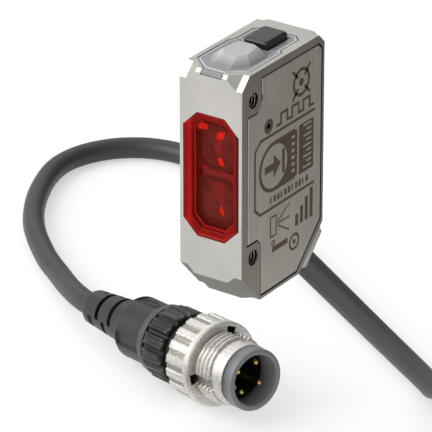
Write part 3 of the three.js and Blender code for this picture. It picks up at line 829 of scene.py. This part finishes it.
def frosted_look(wire):
    patch = wire.grain(0.3, 3.0)
    dome = wire.along("Z").rise(16.9, 17.9)
    return {
        "Base Color": dome.tint(tone("97989a"), tone("bebfc1")),
        "Roughness": 0.16 + 0.1 * patch,
        "Alpha": 0.8 + 0.1 * patch,
    }


frosted = finish("frosted_clear", {
    "Specular IOR Level": 0.35, "Subsurface Weight": 0.5, "Subsurface Scale": 0.0015,
}, frosted_look)
indicator = softened("indicator_dome", "indicator_cover", COVER_ROUND, sharp=14.0)
dress(indicator, frosted)


def cover_line(inset, z):
    """The indicator cover's outline drawn inwards by inset, at a height over the housing's bottom."""
    lean = inset * COVER_LEAN
    half = [
        (1.8 - lean, 0.9 + inset), (4.65 - inset, 3.35 + lean), (4.65 - inset, 11.6 - lean),
        (4.05 - inset, 12.3 - lean), (4.05 - inset, 17.0 - lean), (2.9 - lean, 18.15 - inset),
    ]
    return [at(x, y, z) for x, y in half + [(-x, y) for x, y in half[::-1]]]


def lit_edge_look(wire):
    patch = wire.grain(0.3, 3.0)
    return {"Base Color": patch.tint(tone("b4b6b8"), tone("d2d3d5")), "Roughness": 0.2 + 0.1 * patch}


# A pale line painted along the border stands for the highlight on its edge.
border_rings = [cover_line(inset, COVER_TOP + up) for inset, up in BORDER_STEPS]
border = flat_sided("indicator_border", border_rings, hollow=True)
dress(border, finish("frosted_edge_highlight", {"Specular IOR Level": 0.4}, lit_edge_look))

# Teach button: a black moulded cap that stands through the indicator cover and is pressed down.
# Its top edges are bevelled, and rounded a little from use.
BUTTON_EDGE = 0.12
button = softened("button_cap", "teach_button", BUTTON_EDGE, body="button")
dress(button, speckled("button_black", "101011", "19191b", 0.3))

# Contact insert: a grey moulded carrier with a round rim, a bore painted black deep down as shade, a key and
# four gold-plated pins.
# The mating plug's socket goes into the bore, and the key keeps it the right way round.
spin = next(j for j in frame["joints"] if j["name"] == "nut_spin")
plug_face = Vector(spin["pos_m"])
plug_back = -Vector(spin["axis"]).normalized()
plug_side = Vector((0, 0, 1)).cross(plug_back).normalized()
plug_up = plug_back.cross(plug_side)
PLUG_SIDES = 96


def in_plug(t, r, turn):
    """A point by its distance behind the plug's face, its radius, and its turn round the axis in radians."""
    return plug_face + (plug_back * t + (plug_side * math.cos(turn) + plug_up * math.sin(turn)) * r) * MM


def where_in_plug(face):
    """A face's distance behind the plug's face, and its radius."""
    away = (face.center - plug_face) / MM
    t = away.dot(plug_back)
    return t, (away - plug_back * t).length


def spun(name, stations, sides=PLUG_SIDES, hollow=False, sharp=35.0, body="sensor"):
    """A turned piece on the plug's axis. A station is (distance, radius), or gives them for a turn."""
    rings = []
    for station in stations:
        ring = []
        for i in range(sides):
            turn = 2 * math.pi * i / sides
            t, r = station(turn) if callable(station) else station
            ring.append(in_plug(t, r, turn))
        rings.append(ring)
    mesh = rolled(name, rings, hollow)
    mesh.set_sharp_from_angle(angle=math.radians(sharp))
    return new_piece(name, mesh, body)


BORE = 4.3
BORE_DEEP = 8.6
BORE_SHADE_FROM = 4.0
INSERT_LINE = (
    (BORE_DEEP, 0.02), (BORE_DEEP, BORE), (4.2, BORE), (3.9, BORE), (0.35, BORE), (0.1, BORE + 0.12),
    (0.0, BORE + 0.3), (0.0, 5.15), (0.08, 5.28), (0.3, 5.35), (2.1, 5.35), (2.2, 5.25), (2.2, 4.85),
    (15.6, 4.85), (15.6, 0.02),
)


def rim_look(wire):
    patch = wire.grain(0.5, 3.0)
    fine = wire.grain(6.0)
    # Painted shade: the grey darkens to near black where X falls low.
    out_of_shade = wire.along("X").rise(-22.4, -19.0)
    return {
        "Base Color": out_of_shade.tint(tone("161617"), patch.tint(tone("6f6f72"), tone("7d7d80"))),
        "Roughness": 0.38 + 0.12 * fine,
        "Normal": fine.bump(0.1, 0.02),
    }


rim_grey = finish("insert_grey", {}, rim_look)
bore_shade_black = speckled("bore_shade_black", "1c1c1e", "29292b", 0.3)
insert = spun("insert_rim", INSERT_LINE)
dress(insert, rim_grey)
insert.data.materials.append(bore_shade_black)
# Deep in the bore the wall is painted black as shade.
for face in insert.data.polygons:
    t, r = where_in_plug(face)
    if r < BORE + 0.02 and t > BORE_SHADE_FROM:
        face.material_index = 1
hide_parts("contact_insert")
KEY_TURN = math.radians(-2)
KEY_SIDES = 20
KEY_LINE = ((0.45, 0.3), (0.55, 0.5), (8.4, 0.5))
key_turns = [2 * math.pi * k / KEY_SIDES for k in range(KEY_SIDES)]
key_rings = [
    [
        in_plug(t, BORE - 0.12, KEY_TURN) + (plug_side * math.cos(a) + plug_up * math.sin(a)) * size * MM
        for a in key_turns
    ]
    for t, size in KEY_LINE
]
key = new_piece("insert_key", rolled("insert_key", key_rings))
key.data.set_sharp_from_angle(angle=math.radians(40))
dress(key, rim_grey)
PIN_CIRCLE = 2.75
PIN_TURN = 38
PIN_SIDES = 24
PIN_LINE = ((1.6, 0.1), (1.62, 0.22), (1.72, 0.36), (1.9, 0.46), (2.15, 0.5), (8.8, 0.5))
for number in range(4):
    turn = math.radians(PIN_TURN + 90 * number)
    centre = in_plug(0, PIN_CIRCLE, turn) - plug_face
    rings = [
        [in_plug(t, r, 2 * math.pi * k / PIN_SIDES) + centre for k in range(PIN_SIDES)] for t, r in PIN_LINE
    ]
    pin = new_piece(f"pin_{number + 1}", rolled(f"pin_{number + 1}", rings))
    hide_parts(f"contact_pin_{number + 1}")
    dress(pin, gold)

# Coupling nut: a die-cast zinc nut, blasted and nickel plated, that turns freely on the plug.
# It has a plain sleeve, four turns of M12 thread cut by three locking grooves, and a shoulder with a pocket
# at each groove. Behind that comes a fluted barrel for the fingers.
SLEEVE = 5.45
THREAD_TOP = 5.88
SHOULDER = 9.06
BARREL = 7.4
NUT_BACK = 14.9
FLUTES = 18
FLUTE_TURN = math.radians(4)
FLUTE_DEEP = 0.27
LOCK_TURN = math.radians(-7)
LOCK_DEEP = 0.16
THREAD_FRONT = 4.7
THREAD_REAR = 8.95
POCKET_DEEP = 1.5
NUT_SIDES = 288


def swell(value, low, high):
    """0 at low, 1 at high, smooth between."""
    x = min(max((value - low) / (high - low), 0.0), 1.0)
    return x * x * (3 - 2 * x)


def off_lock(turn):
    """Degrees from the nearest locking groove's middle."""
    return abs((math.degrees(turn - LOCK_TURN) + 60) % 120 - 60)


def in_flute(turn):
    """1 at the bottom of a flute, 0 on a land."""
    apart = 360 / FLUTES
    off = abs((math.degrees(turn - FLUTE_TURN) + apart / 2) % apart - apart / 2)
    return 1 - swell(off, apart * 0.17, apart * 0.25)


def thread_at(t):
    """A station across the thread, with its three locking grooves."""

    def radius(turn):
        lock = 1 - swell(off_lock(turn), 8.0, 10.5)
        wave = 0.5 - 0.5 * math.cos((t - 4.75 - turn / (2 * math.pi)) * 2 * math.pi)
        height = swell(t, THREAD_FRONT, 5.3) * (1 - swell(t, 8.7, THREAD_REAR))
        ridge = (THREAD_TOP - SLEEVE) * swell(wave, 0.15, 0.85) * height
        return t, SLEEVE + ridge * (1 - lock) + (0.1 * height + 0.04) * (1 - lock) - LOCK_DEEP * lock

    return radius


def shoulder_at(t, r):
    """A station on the shoulder, which sinks into a pocket at each locking groove."""

    def radius(turn):
        pocket = (1 - swell(off_lock(turn), 6.5, 8.0)) * (1 - swell(r, 6.5, 6.7))
        return t + POCKET_DEEP * pocket, r - 0.15 * pocket

    return radius


def barrel_at(t, drop=0.0):
    """A station on the fluted barrel, drop millimetres under its outside."""

    def radius(turn):
        flute = in_flute(turn) * swell(t, SHOULDER + 1.25, SHOULDER + 1.5) * FLUTE_DEEP
        return t, BARREL - drop - flute

    return radius


nut_line = [(2.45, 5.05), (2.45, SLEEVE - 0.15), (2.6, SLEEVE - 0.02), (2.8, SLEEVE)]
nut_line += [(3.3 + 0.35 * k, SLEEVE) for k in range(4)]
nut_line += [thread_at(4.5 + 0.09 * k) for k in range(50)]
nut_line += [shoulder_at(SHOULDER, r) for r in (5.5, 5.9, 6.3, 6.5, 6.72, 6.9, 7.15)]
nut_line += [barrel_at(SHOULDER + 0.12, 0.12), barrel_at(SHOULDER + 0.3)]
nut_line += [barrel_at(SHOULDER + t) for t in (0.7, 1.0, 1.05, 1.1, 1.25, 1.33, 1.4, 1.5, 2.5, 3.5, 4.5, 5.5)]
nut_line += [barrel_at(NUT_BACK - 0.15, 0.02), barrel_at(NUT_BACK, 0.18), (NUT_BACK, 5.05)]


def nickel_look(wire):
    patch = wire.grain(0.35, 3.0)
    grit = wire.grain(3.2, 3.0)
    fine = wire.grain(9.0, 2.0)
    return {
        "Base Color": (grit.rise(0.3, 0.7) * 0.7 + patch * 0.3).tint(tone("b8b4ae"), tone("ebe9e5")),
        "Roughness": 0.34 + 0.2 * fine,
        "Normal": (grit + fine * 0.5).bump(0.55, 0.07),
    }


# A darker nickel painted on as the shade in the flute bottoms and the thread roots.
def painted_shade_nickel_look(wire):
    grit = wire.grain(3.2, 3.0)
    return {
        "Base Color": grit.rise(0.3, 0.7).tint(tone("857f77"), tone("b7b1a9")),
        "Roughness": 0.42 + 0.2 * wire.grain(9.0, 2.0),
        "Normal": grit.bump(0.5, 0.07),
    }


nickel = finish("blasted_nickel", {"Metallic": 0.9}, nickel_look)
painted_shade_nickel = finish("shaded_nickel", {"Metallic": 0.9}, painted_shade_nickel_look)
nut = spun("nut_shell", nut_line, NUT_SIDES, hollow=True, sharp=32.0, body="nut")
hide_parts("coupling_nut")
dress(nut, nickel)
nut.data.materials.append(bore_shade_black)
nut.data.materials.append(painted_shade_nickel)
# The pockets are painted black, and the flute bottoms and thread roots a darker nickel, both as painted shade.
for face in nut.data.polygons:
    t, r = where_in_plug(face)
    in_pocket = SHOULDER + 0.3 < t < SHOULDER + 1.6 and 5.1 < r < 6.7
    deep_in_flute = t > SHOULDER + 1.35 and 6.0 < r < BARREL - 0.15
    in_thread_root = 4.9 < t < SHOULDER - 0.1 and 5.1 < r < SLEEVE + 0.17
    if in_pocket:
        face.material_index = 1
    elif deep_in_flute or in_thread_root:
        face.material_index = 2

# Grip collar: a black nylon ring with scalloped ribs, pressed on the moulded body behind the nut.
# Fingers hold it while the nut is turned.
GRIP_LOBES = 14
GRIP_OUT = 6.6
GRIP_IN = 5.1
GRIP_NECK = 5.6
GRIP_START = 15.7
GRIP_END = 22.8
GRIP_SIDES = 224
RIB_START = 17.4
RIB_GROOVE = 0.52
RIB_NICK = 0.24


def grip_at(t, drop=0.0, deep=1.0):
    """A station across the ribs: a groove between them, and a shallow nick along the top of each."""

    def radius(turn):
        wave = 0.5 + 0.5 * math.cos(turn * GRIP_LOBES)
        groove = 1 - swell(wave, 0.06, 0.3)
        nick = RIB_NICK * swell(wave, 0.66, 0.82)
        return t, GRIP_OUT - drop - (RIB_GROOVE * groove + nick) * deep

    return radius


grip_line = [(GRIP_START, GRIP_IN), (GRIP_START, GRIP_NECK), (RIB_START, GRIP_NECK)]
grip_line += [grip_at(RIB_START, 0.4, 0.7), grip_at(RIB_START + 0.15, 0.1), grip_at(RIB_START + 0.3)]
grip_line += [grip_at(t) for t in (18.6, 19.6, 20.6, 21.6)]
grip_line += [grip_at(22.4, 0.05), grip_at(22.7, 0.25, 0.9), grip_at(GRIP_END, 0.5, 0.6), (GRIP_END, GRIP_IN)]


def nylon_look(wire):
    patch = wire.grain(0.4, 3.0)
    fine = wire.grain(6.0, 2.0)
    return {
        "Base Color": patch.tint(tone("0e0f11"), tone("191a1c")),
        "Roughness": 0.26 + 0.12 * fine,
        "Normal": fine.bump(0.15, 0.02),
    }


nylon = finish("grip_nylon", {"Specular IOR Level": 0.5}, nylon_look)
grip = spun("grip_ribs", grip_line, GRIP_SIDES, hollow=True)
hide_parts("plug_grip")
dress(grip, nylon)
# The front gap and the grooves between the ribs are painted near black, as the shade in them.
groove_shade_black = speckled("groove_shade_black", "050505", "0a0a0b", 0.5)
grip.data.materials.append(groove_shade_black)
for face in grip.data.polygons:
    t, r = where_in_plug(face)
    if t < RIB_START + 0.01 or r < GRIP_OUT - 0.34:
        face.material_index = 1

# Plug body: dark grey polyurethane moulded over the contacts and the lead in one shot.
# A collar, a barrel with flats, and a tapered strain relief whose slots let it bend with the lead.
COLLAR = 6.1
BODY_BARREL = 5.5
BODY_BACK = 32.2
RELIEF_BIG = 4.05
RELIEF_SMALL = 3.05
RELIEF_BACK = 44.0
BODY_SIDES = 144
SIDE_FLATS = (-1, 179)
SIDE_FLAT_HALF = 13
TOP_FLAT = 98
TOP_FLAT_HALF = 24
TOP_FLAT_OUT = 5.1
SLOTS = (
    (35.0, 61, 59), (35.0, 241, 59), (37.05, 149, 46), (37.05, 327, 34),
    (38.95, 61, 59), (38.95, 241, 59), (41.0, 149, 46), (41.0, 327, 34),
)
SLOT_LONG = 0.95
SLOT_DEEP = 0.85
SLOT_LIP = 0.08


def turn_off(turn, middle_turn):
    """Degrees from one turn to another, between -180 and 180."""
    return (math.degrees(turn) - middle_turn + 180) % 360 - 180


def body_at(t):
    """A station across the barrel, with a narrow flat on each side and a wide one on top."""

    def radius(turn):
        r = BODY_BARREL
        shape = swell(t, 25.3, 25.6) * (1 - swell(t, 31.0, 31.3))
        for flat_turn in SIDE_FLATS:
            off = abs(turn_off(turn, flat_turn))
            r -= 0.5 * shape * (1 - swell(off, SIDE_FLAT_HALF - 1.5, SIDE_FLAT_HALF + 1.0))
        lean = turn_off(turn, TOP_FLAT)
        if abs(lean) < TOP_FLAT_HALF:
            r = min(r, r + (TOP_FLAT_OUT / math.cos(math.radians(lean)) - r) * shape)
        return t, r

    return radius


def relief_at(t):
    """A station across the tapered strain relief, with its slots."""

    def radius(turn):
        r = RELIEF_BIG - (RELIEF_BIG - RELIEF_SMALL) * (t - BODY_BACK) / (RELIEF_BACK - BODY_BACK)
        for start, slot_turn, half in SLOTS:
            end = start + SLOT_LONG
            along = swell(t, start, start + SLOT_LIP) * (1 - swell(t, end - SLOT_LIP, end))
            off = abs(turn_off(turn, slot_turn))
            r -= SLOT_DEEP * along * (1 - swell(off, half - 3.0, half + 2.0))
        return t, r

    return radius


body_line = [(16.0, 0.02), (16.0, 4.8), (23.1, 4.8), (23.1, COLLAR - 0.2), (23.25, COLLAR - 0.04)]
body_line += [(23.5, COLLAR), (24.3, COLLAR), (24.6, COLLAR - 0.15)]
body_line += [(24.85, BODY_BARREL + 0.1), (25.1, BODY_BARREL)]
body_line += [body_at(t) for t in (25.3, 25.45, 25.6, 27.0, 29.0, 30.9, 31.05, 31.3)]
body_line += [(31.7, BODY_BARREL - 0.2), (32.0, 5.0), (32.15, 4.5), (BODY_BACK + 0.05, RELIEF_BIG)]
body_line += [relief_at(BODY_BACK + 0.6 + 0.1 * k) for k in range(90)]
body_line += [relief_at(t) for t in (42.3, 43.0, 43.7)]
body_line += [(43.95, RELIEF_SMALL - 0.08), (RELIEF_BACK, RELIEF_SMALL - 0.35), (RELIEF_BACK, 2.05)]
body_line += [(43.0, 2.0), (43.0, 0.02)]


def moulded_look(wire):
    patch = wire.grain(0.3, 3.0)
    fine = wire.grain(7.0, 2.0)
    return {
        "Base Color": patch.tint(tone("18191b"), tone("232426")),
        "Roughness": 0.34 + 0.14 * fine,
        "Normal": fine.bump(0.15, 0.02),
    }


moulded = finish("moulded_grey", {"Specular IOR Level": 0.5}, moulded_look)
shell = spun("plug_shell", body_line, BODY_SIDES, sharp=30.0)
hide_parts("plug_body")
dress(shell, moulded)
shell.data.materials.append(groove_shade_black)
shell.data.materials.append(speckled("lighter_collar", "3c3d3f", "4a4b4d", 0.4))
for face in shell.data.polygons:
    t, r = where_in_plug(face)
    # The slots are painted near black as the shade in them.
    in_slot = 34.9 < t < 42.1 and r < 2.95 + (RELIEF_BACK - t) * 0.04
    if in_slot:
        face.material_index = 1
    # The collar band is painted a lighter grey than the rest of the body.
    elif 23.2 < t < 24.7:
        face.material_index = 2
OVAL_LONG = 2.1
OVAL_WIDE = 0.95
OVAL_MIDDLE = 28.4
OVAL_SIDES = 40
flat_turn = math.radians(TOP_FLAT)
flat_out = plug_side * math.cos(flat_turn) + plug_up * math.sin(flat_turn)
flat_across = plug_up * math.cos(flat_turn) - plug_side * math.sin(flat_turn)
oval_rings = []
for grow, lift in ((0.0, 5.0), (0.0, 5.2), (-0.22, 5.2), (-0.22, 5.0)):
    oval_rings.append([
        plug_face + (
            plug_back * (OVAL_MIDDLE + (OVAL_LONG + grow) * math.cos(a))
            + flat_across * (OVAL_WIDE + grow) * math.sin(a) + flat_out * lift
        ) * MM
        for a in (2 * math.pi * k / OVAL_SIDES for k in range(OVAL_SIDES))
    ])
oval = new_piece("maker_oval", rolled("maker_oval", oval_rings, hollow=True))
oval.data.set_sharp_from_angle(angle=math.radians(40))
dress(oval, moulded)

# Bench: a plain pale board that the plug and the lead lie on, wide enough to fill every view.
# It is matt, so it shows only a faint soft shadow.
BENCH_HALF = 3.0
BENCH_GAP = 0.05 * MM
bench_mesh = mesh_of("bench", [
    (x * BENCH_HALF, y * BENCH_HALF, cad_low.z - BENCH_GAP) for x, y in ((-1, -1), (1, -1), (1, 1), (-1, 1))
], [(0, 1, 2, 3)])
bench = bpy.data.objects.new("bench", bench_mesh)
bpy.context.scene.collection.objects.link(bench)


def bench_look(wire):
    patch = wire.grain(0.01, 2.0)
    return {"Base Color": patch.tint(tone("b6b6b6"), tone("bababa")), "Roughness": 0.85}


dress(bench, finish("bench_board", {
    "Specular IOR Level": 0.1, "Emission Color": (1.0, 1.0, 1.0, 1.0), "Emission Strength": 0.52,
}, bench_look))

# Studio light: a pale dome that is brighter at the front left, a large soft box there and a weak one behind.
# Two grey cards, one behind on the right and one over the bench, give the bare metal something dim to mirror.
DOME_WAY = (-0.62, -0.62, 0.48)
DOME_DIM = 0.3
DOME_GAIN = 0.6
BOX_AWAY = 0.9
CARD_AWAY = 0.1
world = bpy.data.worlds.new("studio_dome")
bpy.context.scene.world = world
world.use_nodes = True
sky = Wire(world.node_tree)
facing = sky.add("ShaderNodeTexCoord", {}, {}, "Generated")
toward = Vector(DOME_WAY).normalized()
share = sky.add("ShaderNodeVectorMath", {"operation": "DOT_PRODUCT"}, {0: facing, 1: toward}, "Value")
backdrop = world.node_tree.nodes["Background"]
backdrop.inputs["Color"].default_value = (1.0, 1.0, 1.0, 1.0)
strength = DOME_DIM + DOME_GAIN * share.rise(-0.4, 0.8)
world.node_tree.links.new(strength.socket, backdrop.inputs["Strength"])


def soft_box(name, way, size, power):
    """A square lamp that faces the middle of the scene."""
    lamp = bpy.data.lights.new(name, "AREA")
    lamp.shape = "SQUARE"
    lamp.size = size
    lamp.energy = power
    stand = bpy.data.objects.new(name, lamp)
    bpy.context.scene.collection.objects.link(stand)
    stand.location = Vector(way).normalized() * BOX_AWAY
    stand.rotation_mode = "QUATERNION"
    stand.rotation_quaternion = Vector(way).to_track_quat("Z", "Y")


soft_box("front_box", (-0.75, -0.8, 0.75), 0.75, 5.9)
soft_box("rear_box", (-0.5, 0.65, 0.7), 0.9, 1.5)


def card_look(wire):
    return {"Base Color": wire.grain(0.01).tint(tone("060606"), tone("0a0a0a"))}


def reflector(name, corners, tint, glow):
    """A card that only mirror-like surfaces see."""
    card = bpy.data.objects.new(name, mesh_of(name, corners, [(0, 1, 2, 3)]))
    bpy.context.scene.collection.objects.link(card)
    card.visible_camera = card.visible_diffuse = card.visible_shadow = card.visible_transmission = False
    dress(card, finish(f"{name}_grey", {"Emission Color": (*tint, 1.0), "Emission Strength": glow}, card_look))


card_way = Vector((0.566, 0.824, 0.0))
card_across = Vector((0.824, -0.566, 0.0))
reflector("side_card", [
    card_way * CARD_AWAY + card_across * x + Vector((0.0, 0.0, z))
    for x, z in ((-0.12, cad_low.z), (0.16, cad_low.z), (0.16, 0.14), (-0.12, 0.14))
], (1.0, 0.97, 0.93), 0.26)
reflector("floor_card", [
    Vector((x, y, cad_low.z)) for x, y in ((-0.075, -0.04), (0.03, -0.04), (0.03, 0.034), (-0.075, 0.034))
], (1.0, 0.99, 0.97), 0.2)
bpy.context.scene.view_settings.view_transform = "Standard"
